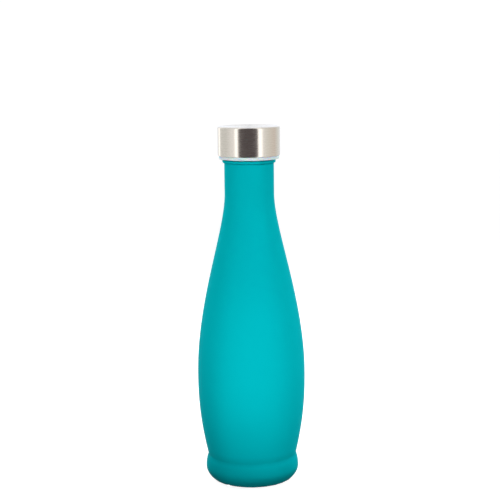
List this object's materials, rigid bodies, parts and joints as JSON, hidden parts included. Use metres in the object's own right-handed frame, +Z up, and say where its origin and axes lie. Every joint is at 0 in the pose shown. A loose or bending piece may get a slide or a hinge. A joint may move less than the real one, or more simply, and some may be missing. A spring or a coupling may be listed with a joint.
{
  "type": "glass water bottle",
  "caption": "Round glass water bottle with a long waisted body, a flared foot, a sprayed matt coat and a steel-clad screw cap.",
  "frame": {"origin": "centre of the flat ring that the bottle stands on, on the bottle's axis", "axes": "+Z up along the bottle's axis, from the base to the cap; +X and +Y are level, and +X points to the start of the glass thread"},
  "size_m": [0.0756, 0.0756, 0.25],
  "materials": {
    "clear_glass": "clear polished soda-lime glass",
    "teal_coat": "sprayed satin matt lacquer",
    "steel": "brushed round the cap",
    "white_plastic": "moulded natural polypropylene",
    "silicone": "soft translucent silicone"
  },
  "bodies": {
    "bottle": {"bottle_glass": "clear_glass", "colour_coat": "teal_coat"},
    "seal": {"seal_ring": "silicone"},
    "cap": {"cap_shell": "steel", "thread_insert": "white_plastic"}
  },
  "joints": [
    {"name": "cap_lift", "type": "slide", "parent": "bottle", "child": "seal", "axis": [0, 0, 1], "range_m": [0, 0.0294]},
    {"name": "cap_turn", "type": "hinge", "parent": "seal", "child": "cap", "pos_m": [0, 0, 0.238], "axis": [0, 0, 1], "range_deg": [0, 2520]}
  ],
  "couplings": [
    {"joint": "cap_lift", "follows": "cap_turn", "m_per_rad": 0.00066845}
  ]
}
